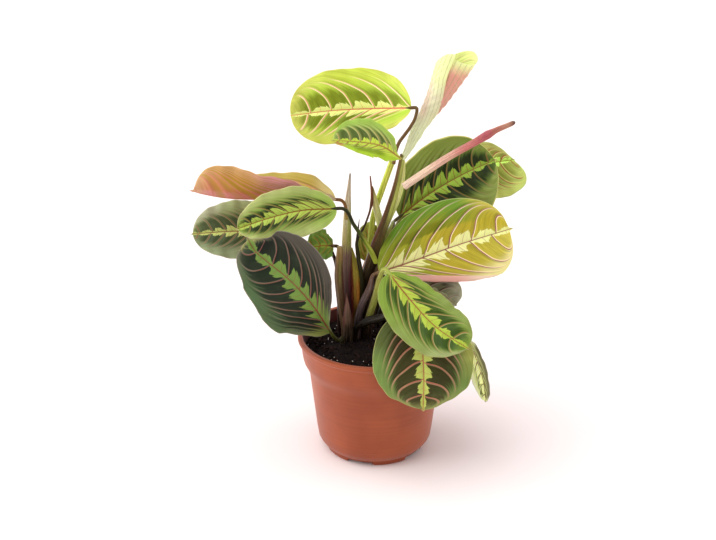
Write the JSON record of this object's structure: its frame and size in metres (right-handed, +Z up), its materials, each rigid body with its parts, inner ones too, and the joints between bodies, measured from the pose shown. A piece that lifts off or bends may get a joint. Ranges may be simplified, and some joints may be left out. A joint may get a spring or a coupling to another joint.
{
  "type": "potted prayer plant",
  "caption": "Small foliage house plant with broad patterned leaves on slim stalks, growing from dark soil in a round tapered nursery pot.",
  "frame": {"origin": "centre of the pot's flat underside, on the pot's axis", "axes": "+Z up along the pot's axis, -Y the front, +X the plant's right as seen from the front"},
  "size_m": [0.2545, 0.1638, 0.3195],
  "materials": {
    "pot": "satin",
    "soil": "matte",
    "leaf_top": "satin",
    "leaf_top_small": "satin",
    "leaf_funnel": "satin",
    "leaf_right_dark": "satin",
    "leaf_right_back": "satin",
    "leaf_right_gold": "satin",
    "leaf_front_mid": "satin",
    "leaf_front_low": "satin",
    "leaf_right_low": "satin",
    "leaf_right_shade": "satin",
    "leaf_left_rolled": "satin",
    "leaf_left_mid": "satin",
    "leaf_left_back": "satin",
    "leaf_left_low": "satin",
    "leaf_left_small": "satin",
    "leaf_centre_back": "satin",
    "sheath_spear": "satin",
    "sheath_cut": "satin",
    "stem_main": "satin",
    "stem_pale": "satin",
    "petiole_right_gold": "satin",
    "petiole_front_mid": "satin",
    "petiole_front_low": "satin",
    "petiole_right_low": "satin",
    "petiole_right_shade": "satin",
    "petiole_right_back": "satin",
    "petiole_centre_back": "satin",
    "petiole_left_back": "satin",
    "petiole_left_low": "satin",
    "petiole_left_small": "satin",
    "flower_stalk": "satin",
    "petiole_right_dark": "satin",
    "petiole_left_mid": "satin",
    "petiole_left_rolled": "satin",
    "petiole_top": "satin",
    "flower_side": "satin",
    "bract": "satin",
    "leaf_spear": "satin"
  },
  "bodies": {
    "root": {"pot": "pot", "soil": "soil", "leaf_top": "leaf_top", "leaf_top_small": "leaf_top_small", "leaf_funnel": "leaf_funnel", "leaf_right_dark": "leaf_right_dark", "leaf_right_back": "leaf_right_back", "leaf_right_gold": "leaf_right_gold", "leaf_front_mid": "leaf_front_mid", "leaf_front_low": "leaf_front_low", "leaf_right_low": "leaf_right_low", "leaf_right_shade": "leaf_right_shade", "leaf_left_rolled": "leaf_left_rolled", "leaf_left_mid": "leaf_left_mid", "leaf_left_back": "leaf_left_back", "leaf_left_low": "leaf_left_low", "leaf_left_small": "leaf_left_small", "leaf_centre_back": "leaf_centre_back", "sheath_spear": "sheath_spear", "sheath_cut": "sheath_cut", "stem_main": "stem_main", "stem_pale": "stem_pale", "petiole_right_gold": "petiole_right_gold", "petiole_front_mid": "petiole_front_mid", "petiole_front_low": "petiole_front_low", "petiole_right_low": "petiole_right_low", "petiole_right_shade": "petiole_right_shade", "petiole_right_back": "petiole_right_back", "petiole_centre_back": "petiole_centre_back", "petiole_left_back": "petiole_left_back", "petiole_left_low": "petiole_left_low", "petiole_left_small": "petiole_left_small", "flower_stalk": "flower_stalk", "petiole_right_dark": "petiole_right_dark", "petiole_left_mid": "petiole_left_mid", "petiole_left_rolled": "petiole_left_rolled", "petiole_top": "petiole_top", "flower_side": "flower_side", "bract": "bract", "leaf_spear": "leaf_spear"}
  },
  "joints": []
}
